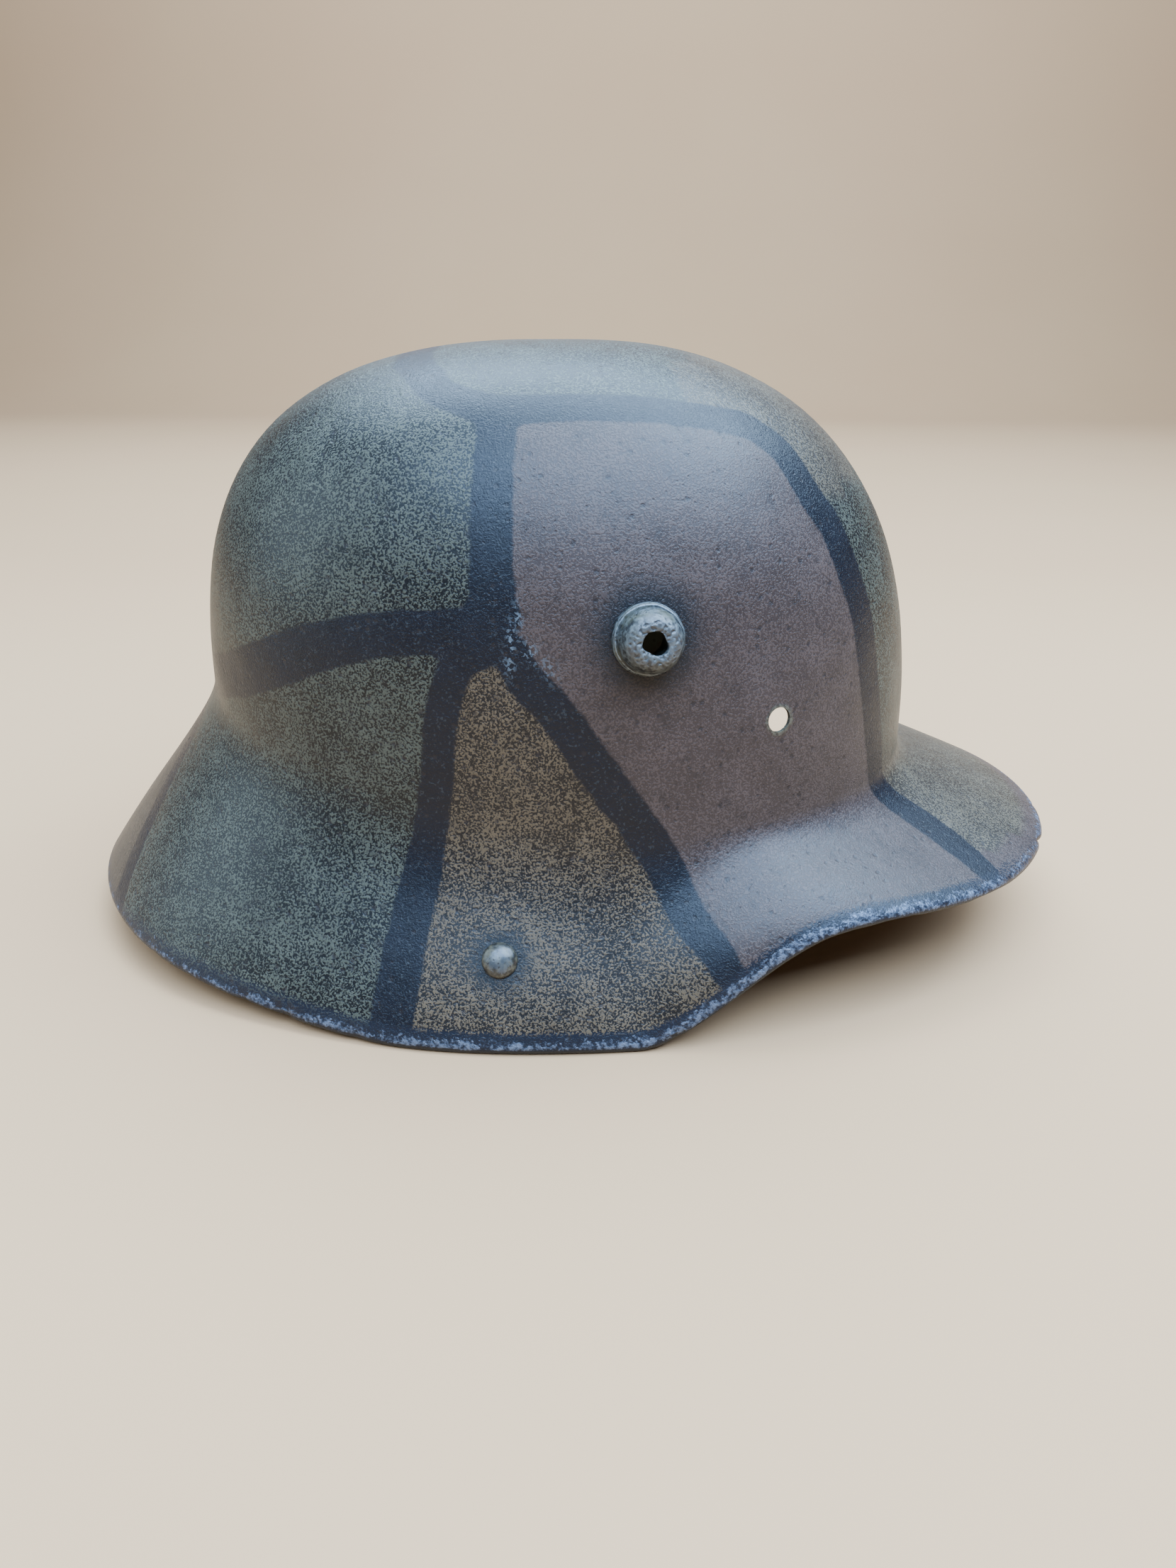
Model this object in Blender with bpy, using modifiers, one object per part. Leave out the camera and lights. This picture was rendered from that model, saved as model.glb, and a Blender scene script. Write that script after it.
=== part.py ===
"""A pressed steel trench helmet: one shell with a rolled rim, two vent lugs and two strap rivets.

+X runs towards the visor, +Y to the wearer's left and +Z up. The origin is on the surface that the
helmet stands on, under the middle of its length. An angle goes round the head from the visor (0)
over the wearer's left side (90) to the neck (180). A depth goes down a section: 0 at the crown,
1 at the skull's waist, where the flare starts, and 2 at the rim.
"""
import bpy
import numpy as np
from mathutils import Matrix, Vector

# The skull, in metres, measured on the outside
HEIGHT = 0.177                 # crown above the surface
SKULL_FRONT = 0.1105           # waist ahead of the ears
SKULL_REAR = 0.1120            # waist behind the ears
SKULL_HALF_WIDTH = 0.097       # waist beside the ears
VISOR_WAIST = 0.058            # waist's height over the visor
NECK_WAIST = 0.079             # waist's height over the neck
WALL = 0.0010                  # sheet steel

# The rim
VISOR_REACH = 0.160            # visor's edge ahead of the ears
NECK_REACH = 0.156             # neck's edge behind the ears
RIM_HALF_WIDTH = 0.119         # widest point of the rim
VISOR_LIFT = 0.030             # visor's edge above the surface
NECK_LIFT = 0.011              # neck's edge above the surface
ROLL_RADIUS = 0.0020           # outer radius of the rolled edge

# The vent lugs
LUG_LENGTH = 0.0112            # proud of the shell
LUG_FLANGE_RADIUS = 0.0094
LUG_FLANGE_HEIGHT = 0.0026
LUG_COLLAR_RADIUS = 0.0083
LUG_COLLAR_HEIGHT = 0.0062     # top of the collar above the shell
LUG_TIP_RADIUS = 0.0068
LUG_CHAMFER = 0.0012
LUG_LIP = 0.0020               # thickness of the end face
LUG_BORE_RADIUS = 0.0042
VENT_RADIUS = 0.0030
LUG_SHANK_RADIUS = 0.0060
LUG_CLENCH_RADIUS = 0.0076
LUG_CLENCH = 0.0010            # thickness of the clenched ring

# The strap rivets and the holes for the liner's pins
RIVET_HEAD_RADIUS = 0.0048
RIVET_HEAD_HEIGHT = 0.0024
RIVET_SHANK_RADIUS = 0.0020
RIVET_CLENCH_RADIUS = 0.0038
RIVET_CLENCH = 0.0010
PIN_HOLE_RADIUS = 0.0034

GAP = 0.0003                   # between pieces that touch

# Rounding of the skull: 2 is an ellipse, more is squarer
SKULL_CORNER = 2.2
CROWN_FRONT = 2.5
CROWN_REAR = 2.65
CROWN_SIDE = 3.2

# Where things sit on the shell: angle in degrees, depth
LUG_SPOT = (77.5, 0.835)
RIVET_SPOT = (94.5, 1.64)
PIN_SPOTS = ((-57.5, 0.93), (57.5, 0.93), (180, 0.90))

# Sections round half the head, from the visor to the neck. Lengths are shares of the sizes above:
# reach of VISOR_REACH or, behind the ears, of NECK_REACH, width of RIM_HALF_WIDTH, lift of
# VISOR_LIFT or NECK_LIFT, waist of VISOR_WAIST or NECK_WAIST. The slope is the flare's fall at
# the rim in degrees. Hang and lead are the pull of the flare's curve at its two ends.
COLUMNS = ("angle", "reach", "width", "lift", "waist", "slope", "hang", "lead")
SECTIONS = (
    (0, 1.00, 0.00, 0.93, 1.00, 24, 0.35, 0.60),
    (20, 0.95, 0.34, 0.93, 1.00, 25, 0.35, 0.58),
    (40, 0.775, 0.655, 0.95, 0.98, 30, 0.38, 0.50),
    (54, 0.59, 0.81, 1.00, 0.96, 40, 0.42, 0.42),
    (66, 0.41, 0.905, 0.77, 0.95, 54, 0.45, 0.40),
    (76, 0.24, 0.96, 0.12, 0.965, 66, 0.45, 0.40),
    (88, 0.04, 0.995, -0.02, 1.00, 71, 0.45, 0.40),
    (104, -0.22, 0.99, -0.02, 0.785, 70, 0.42, 0.40),
    (120, -0.475, 0.90, 0.30, 0.85, 66, 0.32, 0.42),
    (138, -0.72, 0.73, 0.68, 0.91, 62, 0.26, 0.44),
    (158, -0.915, 0.42, 0.91, 0.975, 58, 0.20, 0.46),
    (180, -1.00, 0.00, 1.00, 1.00, 56, 0.18, 0.46),
)

# Fineness of the meshes
ANGLE_STEP = 5.0
CROWN_STEPS = 13
FLARE_STEPS = 7
ROLL_STEPS = 3                 # from the flare to the flat foot of the roll
ROLL_TURN = 45.0               # degrees of each step after that
ROLL_TAIL = 3                  # steps from the foot to the roll's free edge
LUG_SIDES = 24
RIVET_SIDES = 16
DOME_STEPS = 4
PIN_SIDES = 20


def section_lengths():
    """The table by column name, with its shares turned into metres."""
    table = dict(zip(COLUMNS, np.array(SECTIONS, float).T))
    ahead = table["reach"] > 0
    table["reach"] = table["reach"] * np.where(ahead, VISOR_REACH, NECK_REACH)
    table["width"] = table["width"] * RIM_HALF_WIDTH
    table["lift"] = table["lift"] * np.where(ahead, VISOR_LIFT, NECK_LIFT)
    table["waist"] = table["waist"] * np.where(ahead, VISOR_WAIST, NECK_WAIST)
    return table


def closed_spline(knots, values, at):
    """A cubic curve through values that closes on itself after 360 degrees.

    The bends at the knots come from one linear system: at each knot both pieces have one slope.
    """
    count = len(knots)
    after = np.diff(np.append(knots, knots[0] + 360))
    before = np.roll(after, 1)
    rise = (np.roll(values, -1) - values) / after
    system = np.zeros((count, count))
    row = np.arange(count)
    system[row, row] = 2 * (before + after)
    system[row, (row + 1) % count] += after
    system[row, (row - 1) % count] += before
    bend = np.linalg.solve(system, 6 * (rise - np.roll(rise, 1)))
    turn = (np.asarray(at, float) - knots[0]) % 360
    k = np.clip(np.searchsorted(knots - knots[0], turn, side="right") - 1, 0, count - 1)
    n = (k + 1) % count
    b = (turn - (knots[k] - knots[0])) / after[k]
    a = 1 - b
    cubic = (a ** 3 - a) * bend[k] + (b ** 3 - b) * bend[n]
    return a * values[k] + b * values[n] + cubic * after[k] ** 2 / 6


TABLE = section_lengths()


def round_head(column, angle, mirror=1):
    """A column of the table at any angle; mirror is -1 where the two sides have opposite signs."""
    half, values = TABLE["angle"], TABLE[column]
    knots = np.concatenate([-half[-2:0:-1], half])
    both = np.concatenate([mirror * values[-2:0:-1], values])
    return closed_spline(knots, both, angle)


def rim_line(angle):
    """The rim's outermost point at its lowest height; it lies flat where the lift is below zero."""
    lift = np.maximum(round_head("lift", angle), 0)
    return np.stack([round_head("reach", angle), round_head("width", angle, -1), lift], -1)


def waist_line(angle):
    """A rounded rectangle between an ellipse and a box, longer or shorter behind the ears."""
    turn = np.radians(angle)
    c, s = np.cos(turn), np.sin(turn)
    power = 2 / SKULL_CORNER
    length = np.where(c > 0, SKULL_FRONT, SKULL_REAR)
    x = length * np.sign(c) * np.abs(c) ** power
    y = SKULL_HALF_WIDTH * np.sign(s) * np.abs(s) ** power
    return np.stack([x, y, round_head("waist", angle)], -1)


def unit(vectors):
    """The same directions with a length of one."""
    return vectors / np.linalg.norm(vectors, axis=-1, keepdims=True)


def rim_frame(angle):
    """Centre of the roll, and the two directions across it: outwards and up."""
    step = 0.25
    along = unit(rim_line(angle + step) - rim_line(angle - step))
    outwards = rim_line(angle) - waist_line(angle)
    outwards[..., 2] = 0
    outwards = unit(outwards)
    outwards = unit(outwards - (outwards * along).sum(-1, keepdims=True) * along)
    up = np.cross(outwards, along)
    up = up * np.sign(up[..., 2:])
    foot = np.cos(np.radians(ROLL_TURN / 2))
    centre = rim_line(angle) + ROLL_RADIUS * (foot * up - outwards)
    return centre, outwards, up


def on_roll(angle, turn):
    """A point of the rolled edge: a circle in the plane across the rim, turn 0 outermost."""
    centre, outwards, up = rim_frame(angle)
    turn = np.radians(turn)[..., None]
    return centre + ROLL_RADIUS * (outwards * np.cos(turn) + up * np.sin(turn))


def skin(angle, depth):
    """A point of the outer face. The dome is a squared ellipsoid on the waist; the flare is a
    cubic curve that leaves the waist straight down and meets the roll at its slope."""
    angle, depth = np.broadcast_arrays(np.asarray(angle, float), np.asarray(depth, float))
    turn = np.radians(angle)
    waist = waist_line(angle)
    fore = np.where(np.cos(turn) > 0, CROWN_FRONT, CROWN_REAR)
    corner = fore * np.cos(turn) ** 2 + CROWN_SIDE * np.sin(turn) ** 2
    fall = np.clip(depth, 0, 1) * np.pi / 2
    dome = waist * (np.sin(fall) ** (2 / corner))[..., None]
    dome[..., 2] = waist[..., 2] + (HEIGHT - waist[..., 2]) * np.clip(np.cos(fall), 0, 1) ** (2 / corner)

    centre, outwards, up = rim_frame(angle)
    slope = round_head("slope", angle)
    end = on_roll(angle, 90 - slope)
    fall_line = (outwards * np.cos(np.radians(slope))[..., None]
                 - up * np.sin(np.radians(slope))[..., None])
    across = np.linalg.norm(end - waist, axis=-1, keepdims=True)
    drop = waist[..., 2:] - end[..., 2:]
    vertical = np.array([0.0, 0.0, 1.0])
    first = waist - vertical * drop * round_head("hang", angle)[..., None]
    second = end - fall_line * across * round_head("lead", angle)[..., None]
    b = np.clip(depth - 1, 0, 1)[..., None]
    a = 1 - b
    flare = a ** 3 * waist + 3 * a * a * b * first + 3 * a * b * b * second + b ** 3 * end
    return centred(np.where(depth[..., None] <= 1, dome, flare))


def centred(points):
    """Moves the ears' frame so that the origin is under the middle of the length."""
    return points - np.array([(VISOR_REACH - NECK_REACH) / 2, 0.0, 0.0])


def spot(angle, depth):
    """A matrix with its origin on the outer face and +Z along the outward normal there."""
    step = 0.01
    here = skin(angle, depth)
    along = skin(angle + 1, depth) - skin(angle - 1, depth)
    down = skin(angle, depth + step) - skin(angle, depth - step)
    normal = Vector(np.cross(down, along)).normalized()
    side = Vector(along).normalized()
    frame = Matrix((side, normal.cross(side).normalized(), normal)).transposed().to_4x4()
    return Matrix.Translation(Vector(here)) @ frame


def sag(radius):
    """How far the skin falls away from a flat disc of this radius, at its tightest bend."""
    tightest_bend = SKULL_HALF_WIDTH / 2
    return radius ** 2 / (2 * tightest_bend)


def collection(name):
    made = bpy.data.collections.new(name)
    bpy.context.scene.collection.children.link(made)
    return made


def paint(name, colour, roughness, metallic):
    material = bpy.data.materials.new(name)
    material.use_nodes = True
    shader = material.node_tree.nodes["Principled BSDF"]
    shader.inputs["Base Color"].default_value = (*colour, 1)
    shader.inputs["Roughness"].default_value = roughness
    shader.inputs["Metallic"].default_value = metallic
    return material


def add_object(name, points, edges, faces, home, material=None):
    mesh = bpy.data.meshes.new(name)
    mesh.from_pydata([tuple(p) for p in points], edges, faces)
    made = bpy.data.objects.new(name, mesh)
    home.objects.link(made)
    if material:
        mesh.materials.append(material)
    return made


def shell_rows():
    """Rings of points from under the crown to the roll's free edge, one row of angles each."""
    angles = np.arange(-180, 180, ANGLE_STEP)
    share = np.arange(1, CROWN_STEPS + 1) / CROWN_STEPS
    crown_depths = (share + (1 - np.cos(np.pi * share)) / 2) / 2
    flare_depths = 1 + np.arange(1, FLARE_STEPS + 1) / FLARE_STEPS
    rows = [skin(angles, depth) for depth in np.concatenate([crown_depths, flare_depths])]
    start = 90 - round_head("slope", angles)
    foot = -90 + ROLL_TURN / 2
    for step in range(1, ROLL_STEPS + 1):
        turn = start + (foot - start) * step / ROLL_STEPS
        rows.append(centred(on_roll(angles, turn)))
    for step in range(1, ROLL_TAIL + 1):
        rows.append(centred(on_roll(angles, np.full_like(angles, foot - ROLL_TURN * step))))
    return rows


def make_shell(home, material):
    """One open surface lofted down the rings, given its wall by Solidify."""
    rows = shell_rows()
    count = len(rows[0])
    points = [np.array([-(VISOR_REACH - NECK_REACH) / 2, 0, HEIGHT])]
    for row in rows:
        points.extend(row)
    after = [(k + 1) % count for k in range(count)]
    faces = [(0, 1 + k, 1 + after[k]) for k in range(count)]
    for ring in range(len(rows) - 1):
        top, low = 1 + ring * count, 1 + (ring + 1) * count
        faces.extend((top + k, low + k, low + after[k], top + after[k]) for k in range(count))
    shell = add_object("shell", points, [], faces, home, material)
    shell.data.shade_smooth()
    wall = shell.modifiers.new("wall", "SOLIDIFY")
    wall.thickness = WALL
    wall.offset = -1
    wall.use_even_offset = True
    return shell


def turn_profile(name, profile, sides, home, material):
    """Turns a profile of (radius, height) points about Z with a Screw modifier."""
    count = len(profile)
    closed = profile[0][0] > 0
    edges = [(k, (k + 1) % count) for k in range(count if closed else count - 1)]
    points = [(radius, 0, height) for radius, height in profile]
    made = add_object(name, points, edges, [], home, material)
    screw = made.modifiers.new("turn", "SCREW")
    screw.axis = "Z"
    screw.steps = screw.render_steps = sides
    screw.use_merge_vertices = True
    screw.merge_threshold = 0.00001
    screw.use_smooth_shade = True
    return made


def lug_profile():
    """Outer side from the end face down to the clenched ring, then back up the bore."""
    clench = -WALL - GAP - sag(LUG_CLENCH_RADIUS)
    return [
        (VENT_RADIUS, LUG_LENGTH),
        (LUG_TIP_RADIUS - LUG_CHAMFER, LUG_LENGTH),
        (LUG_TIP_RADIUS, LUG_LENGTH - LUG_CHAMFER),
        (LUG_COLLAR_RADIUS, LUG_COLLAR_HEIGHT),
        (LUG_COLLAR_RADIUS, LUG_FLANGE_HEIGHT),
        (LUG_FLANGE_RADIUS, LUG_FLANGE_HEIGHT),
        (LUG_FLANGE_RADIUS, GAP),
        (LUG_SHANK_RADIUS, GAP),
        (LUG_SHANK_RADIUS, clench),
        (LUG_CLENCH_RADIUS, clench),
        (LUG_CLENCH_RADIUS, clench - LUG_CLENCH),
        (LUG_BORE_RADIUS, clench - LUG_CLENCH),
        (LUG_BORE_RADIUS, LUG_LENGTH - LUG_LIP),
        (VENT_RADIUS, LUG_LENGTH - LUG_LIP),
    ]


def rivet_profile():
    """A domed head on the outside, a shank, and a flat head inside."""
    seat = GAP + sag(RIVET_HEAD_RADIUS)
    clench = -WALL - GAP - sag(RIVET_CLENCH_RADIUS)
    turns = np.linspace(0, np.pi / 2, DOME_STEPS + 1)
    dome = [(RIVET_HEAD_RADIUS * np.sin(a), seat + RIVET_HEAD_HEIGHT * np.cos(a)) for a in turns]
    return dome + [
        (RIVET_SHANK_RADIUS, seat),
        (RIVET_SHANK_RADIUS, clench),
        (RIVET_CLENCH_RADIUS, clench),
        (RIVET_CLENCH_RADIUS, clench - RIVET_CLENCH),
        (0, clench - RIVET_CLENCH),
    ]


def drill(shell, name, place, radius, sides, home):
    """Cuts a round hole through the wall at a spot."""
    length = 2 * (WALL + LUG_FLANGE_RADIUS)
    bpy.ops.mesh.primitive_cylinder_add(vertices=sides, radius=radius, depth=length)
    cutter = bpy.context.object
    cutter.name = cutter.data.name = name
    for owner in list(cutter.users_collection):
        owner.objects.unlink(cutter)
    home.objects.link(cutter)
    cutter.matrix_world = place
    cutter.hide_render = True
    cutter.display_type = "WIRE"
    cut = shell.modifiers.new(name, "BOOLEAN")
    cut.operation = "DIFFERENCE"
    cut.solver = "EXACT"
    cut.object = cutter


def main():
    for old in list(bpy.data.objects):
        bpy.data.objects.remove(old, do_unlink=True)
    parts = collection("steel_helmet")
    cutters = collection("cutters")

    shell = make_shell(parts, paint("camouflage_paint", (0.17, 0.16, 0.13), 0.5, 0.1))
    steel = paint("worn_lug_steel", (0.25, 0.28, 0.27), 0.55, 0.4)
    painted_rivet = paint("painted_rivet", (0.22, 0.22, 0.19), 0.5, 0.2)

    for number, (angle, depth) in enumerate(PIN_SPOTS):
        drill(shell, f"pin_hole_{number}", spot(angle, depth), PIN_HOLE_RADIUS, PIN_SIDES, cutters)

    for side, name in ((-1, "right"), (1, "left")):
        place = spot(side * LUG_SPOT[0], LUG_SPOT[1])
        drill(shell, f"lug_hole_{name}", place, LUG_SHANK_RADIUS + GAP, LUG_SIDES, cutters)
        lug = turn_profile(f"vent_lug_{name}", lug_profile(), LUG_SIDES, parts, steel)
        lug.matrix_world = place

        place = spot(side * RIVET_SPOT[0], RIVET_SPOT[1])
        drill(shell, f"rivet_hole_{name}", place, RIVET_SHANK_RADIUS + GAP, RIVET_SIDES, cutters)
        rivet = turn_profile(f"strap_rivet_{name}", rivet_profile(), RIVET_SIDES, parts, painted_rivet)
        rivet.matrix_world = place


main()
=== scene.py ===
# %% [markdown]
# # A pressed steel trench helmet
#
# The real thing is one sheet of nickel steel about 1 mm thick, pressed hot in several dies: a deep
# skull, a sloping visor and a flare over ears and neck. The cut edge is curled inwards into a bead.
# A stepped hollow lug sits on each temple and a domed rivet low on each side. The paint was done
# with a brush: patches of green, ochre and brown, parted by lines of blue-black.
#
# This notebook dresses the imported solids. Each piece is a grid of points worked out by one formula,
# laid exactly where the solids are, so the render and the solids stay the same size.

# %% The frame
import bpy
import numpy as np
from mathutils import Matrix, Vector


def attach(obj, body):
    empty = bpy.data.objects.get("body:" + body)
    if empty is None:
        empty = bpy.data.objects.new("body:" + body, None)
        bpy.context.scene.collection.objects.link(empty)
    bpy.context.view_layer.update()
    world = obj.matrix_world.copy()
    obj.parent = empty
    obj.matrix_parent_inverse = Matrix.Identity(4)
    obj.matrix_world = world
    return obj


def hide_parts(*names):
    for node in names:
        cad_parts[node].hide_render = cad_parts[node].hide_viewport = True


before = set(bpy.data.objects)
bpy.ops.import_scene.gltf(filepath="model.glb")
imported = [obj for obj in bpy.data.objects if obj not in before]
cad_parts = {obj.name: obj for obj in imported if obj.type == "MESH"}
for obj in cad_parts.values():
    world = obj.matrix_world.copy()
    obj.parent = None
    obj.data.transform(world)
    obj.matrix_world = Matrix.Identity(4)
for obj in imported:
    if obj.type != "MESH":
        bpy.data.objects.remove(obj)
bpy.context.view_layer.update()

# %% [markdown]
# ## Sizes
#
# All lengths are metres. They are the solids' own sizes, because both are the same object. The
# origin is on the surface that the helmet stands on; +X runs to the visor and +Z up.

# %% Sizes
HEIGHT = 0.177
SKULL_FRONT, SKULL_REAR, SKULL_HALF_WIDTH = 0.1105, 0.1120, 0.097
VISOR_WAIST, NECK_WAIST = 0.058, 0.079
VISOR_REACH, NECK_REACH, RIM_HALF_WIDTH = 0.160, 0.156, 0.119
VISOR_LIFT, NECK_LIFT = 0.030, 0.011
WALL, ROLL_RADIUS = 0.0010, 0.0020
SKULL_CORNER, CROWN_FRONT, CROWN_REAR, CROWN_SIDE = 2.2, 2.5, 2.65, 3.2
LUG_SPOT, RIVET_SPOT = (77.5, 0.835), (94.5, 1.64)
PIN_SPOTS = ((-57.5, 0.93), (57.5, 0.93), (180, 0.90))
PIN_HOLE_RADIUS, LUG_HOLE_RADIUS, RIVET_HOLE_RADIUS = 0.0034, 0.0063, 0.0023
MM = 0.001

COLUMNS = ("angle", "reach", "width", "lift", "waist", "slope", "hang", "lead")
SECTIONS = (
    (0, 1.00, 0.00, 0.93, 1.00, 24, 0.35, 0.60),
    (20, 0.95, 0.34, 0.93, 1.00, 25, 0.35, 0.58),
    (40, 0.775, 0.655, 0.95, 0.98, 30, 0.38, 0.50),
    (54, 0.59, 0.81, 1.00, 0.96, 40, 0.42, 0.42),
    (66, 0.41, 0.905, 0.77, 0.95, 54, 0.45, 0.40),
    (76, 0.24, 0.96, 0.12, 0.965, 66, 0.45, 0.40),
    (88, 0.04, 0.995, -0.02, 1.00, 71, 0.45, 0.40),
    (104, -0.22, 0.99, -0.02, 0.785, 70, 0.42, 0.40),
    (120, -0.475, 0.90, 0.30, 0.85, 66, 0.32, 0.42),
    (138, -0.72, 0.73, 0.68, 0.91, 62, 0.26, 0.44),
    (158, -0.915, 0.42, 0.91, 0.975, 58, 0.20, 0.46),
    (180, -1.00, 0.00, 1.00, 1.00, 56, 0.18, 0.46),
)


# %% [markdown]
# ## The form of the sheet
#
# A press die has no seams, so every size changes smoothly round the head. Each column of the table
# becomes a closed cubic curve: one linear system makes its slope and bend match at every section.
# The same curves gave the solids their form.

# %% Curves round the head
def section_lengths():
    """The table by column, with its shares turned into metres."""
    table = dict(zip(COLUMNS, np.array(SECTIONS, float).T))
    ahead = table["reach"] > 0
    table["reach"] = table["reach"] * np.where(ahead, VISOR_REACH, NECK_REACH)
    table["width"] = table["width"] * RIM_HALF_WIDTH
    table["lift"] = table["lift"] * np.where(ahead, VISOR_LIFT, NECK_LIFT)
    table["waist"] = table["waist"] * np.where(ahead, VISOR_WAIST, NECK_WAIST)
    return table


def closed_spline(knots, values, at):
    """A cubic curve through values, closed after 360 degrees: at each knot slope and bend agree."""
    count = len(knots)
    after = np.diff(np.append(knots, knots[0] + 360))
    before = np.roll(after, 1)
    rise = (np.roll(values, -1) - values) / after
    system = np.zeros((count, count))
    row = np.arange(count)
    system[row, row] = 2 * (before + after)
    system[row, (row + 1) % count] += after
    system[row, (row - 1) % count] += before
    bend = np.linalg.solve(system, 6 * (rise - np.roll(rise, 1)))
    turn = (np.asarray(at, float) - knots[0]) % 360
    k = np.clip(np.searchsorted(knots - knots[0], turn, side="right") - 1, 0, count - 1)
    n = (k + 1) % count
    b = (turn - (knots[k] - knots[0])) / after[k]
    a = 1 - b
    cubic = (a ** 3 - a) * bend[k] + (b ** 3 - b) * bend[n]
    return a * values[k] + b * values[n] + cubic * after[k] ** 2 / 6


TABLE = section_lengths()


def round_head(column, angle, mirror=1):
    """A column of the table at any angle; mirror is -1 where the two sides have opposite signs."""
    half, values = TABLE["angle"], TABLE[column]
    knots = np.concatenate([-half[-2:0:-1], half])
    return closed_spline(knots, np.concatenate([mirror * values[-2:0:-1], values]), angle)


print("waist beside the ear", round(float(round_head("waist", 90)) * 1000, 1), "mm")


# %% [markdown]
# The waist is the line where the skull ends and the flare starts. It is a rounded rectangle between
# an ellipse and a box, as a head is. The rim is a second closed curve, further out and lower.

# %% Waist, rim and rolled edge
def unit(vectors):
    """The same directions with a length of one."""
    return vectors / np.linalg.norm(vectors, axis=-1, keepdims=True)


def rim_line(angle):
    """The rim's outermost point at its lowest height: reach, width and lift, never under zero."""
    lift = np.maximum(round_head("lift", angle), 0)
    return np.stack([round_head("reach", angle), round_head("width", angle, -1), lift], -1)


def waist_line(angle):
    """Length times cosine and width times sine, each to the power 2 / corner."""
    turn = np.radians(angle)
    c, s = np.cos(turn), np.sin(turn)
    length = np.where(c > 0, SKULL_FRONT, SKULL_REAR)
    x = length * np.sign(c) * np.abs(c) ** (2 / SKULL_CORNER)
    y = SKULL_HALF_WIDTH * np.sign(s) * np.abs(s) ** (2 / SKULL_CORNER)
    return np.stack([x, y, round_head("waist", angle)], -1)


def rim_frame(angle, height=1.0):
    """Centre of the roll and the two directions square to the rim: outwards and up."""
    along = unit(rim_line(angle + 0.25) - rim_line(angle - 0.25))
    outwards = rim_line(angle) - waist_line(angle)
    outwards[..., 2] = 0
    outwards = unit(outwards)
    outwards = unit(outwards - (outwards * along).sum(-1, keepdims=True) * along)
    up = np.cross(outwards, along)
    up = up * np.sign(up[..., 2:])
    return rim_line(angle) + ROLL_RADIUS * (height * up - outwards), outwards, up


def on_roll(angle, turn, radius=ROLL_RADIUS):
    """A circle round the roll's centre in the plane across the rim; turn 0 is outermost."""
    centre, outwards, up = rim_frame(angle)
    turn = np.radians(turn)[..., None]
    return centre + radius * (outwards * np.cos(turn) + up * np.sin(turn))


def centred(points):
    """Puts the origin under the middle of the length."""
    return points - np.array([(VISOR_REACH - NECK_REACH) / 2, 0.0, 0.0])


# %% [markdown]
# The skull is a squared ellipsoid that stands on the waist. The flare is a cubic curve: it leaves
# the waist straight down, as the die's wall does, and reaches the rolled edge at the slope of the
# table. A depth of 0 is the crown, 1 the waist and 2 the start of the roll.

# %% The outer face
def skin(angle, depth):
    """Dome: waist times sine and height times cosine of the fall, each to 2 / corner. Flare: a
    cubic Bezier curve from the waist to the roll."""
    angle, depth = np.broadcast_arrays(np.asarray(angle, float), np.asarray(depth, float))
    turn = np.radians(angle)
    waist = waist_line(angle)
    fore = np.where(np.cos(turn) > 0, CROWN_FRONT, CROWN_REAR)
    corner = fore * np.cos(turn) ** 2 + CROWN_SIDE * np.sin(turn) ** 2
    fall = np.clip(depth, 0, 1) * np.pi / 2
    dome = waist * (np.sin(fall) ** (2 / corner))[..., None]
    rise = np.clip(np.cos(fall), 0, 1) ** (2 / corner)
    dome[..., 2] = waist[..., 2] + (HEIGHT - waist[..., 2]) * rise

    _, outwards, up = rim_frame(angle)
    slope = round_head("slope", angle)
    tilt = np.radians(slope)[..., None]
    end = on_roll(angle, 90 - slope)
    fall_line = outwards * np.cos(tilt) - up * np.sin(tilt)
    across = np.linalg.norm(end - waist, axis=-1, keepdims=True)
    drop = (waist - end) * np.array([0.0, 0.0, 1.0])
    first = waist - drop * round_head("hang", angle)[..., None]
    second = end - fall_line * across * round_head("lead", angle)[..., None]
    b = np.clip(depth - 1, 0, 1)[..., None]
    a = 1 - b
    flare = a ** 3 * waist + 3 * a * a * b * first + 3 * a * b * b * second + b ** 3 * end
    return centred(np.where(depth[..., None] <= 1, dome, flare))


def at_height(angle, height):
    """The outer face at an angle and a height: the depth is read from a fine ladder of heights."""
    depth = np.linspace(0, 2, 401)
    ladder = np.minimum.accumulate(skin(angle[:, None], depth)[..., 2], axis=1)
    step = np.clip((ladder > height[:, None]).sum(1), 1, 400)
    row = np.arange(len(angle))
    top, low = ladder[row, step - 1], ladder[row, step]
    share = np.clip((top - height) / np.maximum(top - low, 1e-9), 0, 1)
    return skin(angle, depth[step - 1] + share * (depth[step] - depth[step - 1]))


def spot(angle, depth):
    """Where a fitting sits: a matrix with +Z along the face's outward normal."""
    here = skin(angle, depth)
    along = skin(angle + 1, depth) - skin(angle - 1, depth)
    down = skin(angle, depth + 0.01) - skin(angle, depth - 0.01)
    normal = unit(np.cross(down, along))
    side = unit(along)
    place = np.eye(4)
    place[:3, :4] = np.stack([side, np.cross(normal, side), normal, here], -1)
    return place


print("lug sits at", np.round(spot(-LUG_SPOT[0], LUG_SPOT[1])[:3, 3] * 1000, 1), "mm")

# %% [markdown]
# ## Camera, floor and light
#
# The camera stands 395 mm from the helmet, on its right and 14 degrees above it, with the field of
# view of a telephone. It is aimed a little below and beside the helmet's middle. The floor is a
# plain pale sheet that curves up far behind. Nearly all the light falls from above, large and cool,
# as under an overcast sky; the walls give back a little warm light.

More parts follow.
